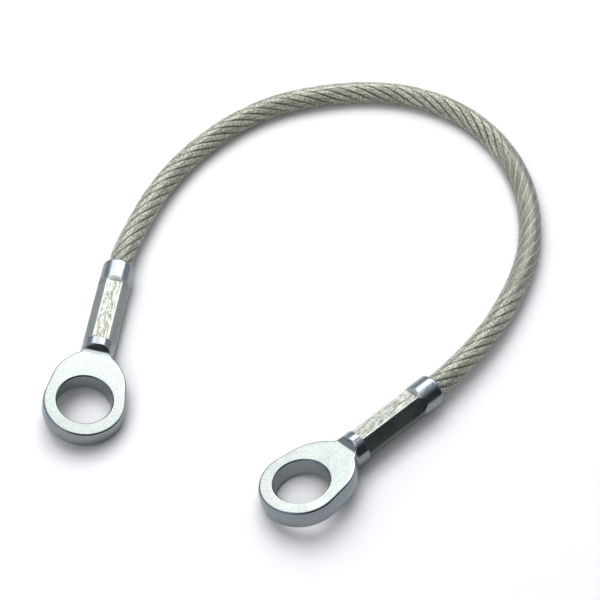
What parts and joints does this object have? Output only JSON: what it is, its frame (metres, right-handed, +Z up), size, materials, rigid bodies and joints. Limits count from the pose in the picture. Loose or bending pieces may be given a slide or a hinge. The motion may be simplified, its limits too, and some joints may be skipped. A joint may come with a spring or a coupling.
{
  "type": "wire rope lanyard",
  "caption": "Short clear-sheathed steel wire rope in an open loop, with a swaged zinc-plated eye terminal at each end for a bolt, pin or shackle.",
  "frame": {"origin": "middle of the box round the two eye terminals, at the surface that the lanyard lies on", "axes": "+Z up from that surface, +X from the left eye towards the right eye, +Y from the eyes towards the far bend of the rope"},
  "size_m": [0.1055, 0.1476, 0.0097],
  "materials": {
    "zinc_plated_steel": "bright zinc plate over swaged and milled steel",
    "galvanised_wire": "bright galvanised fine wires, laid into strands",
    "clear_pvc": "clear plasticised PVC with a faint yellow-grey cast"
  },
  "bodies": {
    "root": {"left_eye_terminal": "zinc_plated_steel", "right_eye_terminal": "zinc_plated_steel", "clear_sheath": "clear_pvc", "core_strand": "galvanised_wire", "outer_strand_1": "galvanised_wire", "outer_strand_2": "galvanised_wire", "outer_strand_3": "galvanised_wire", "outer_strand_4": "galvanised_wire", "outer_strand_5": "galvanised_wire", "outer_strand_6": "galvanised_wire"}
  },
  "joints": []
}
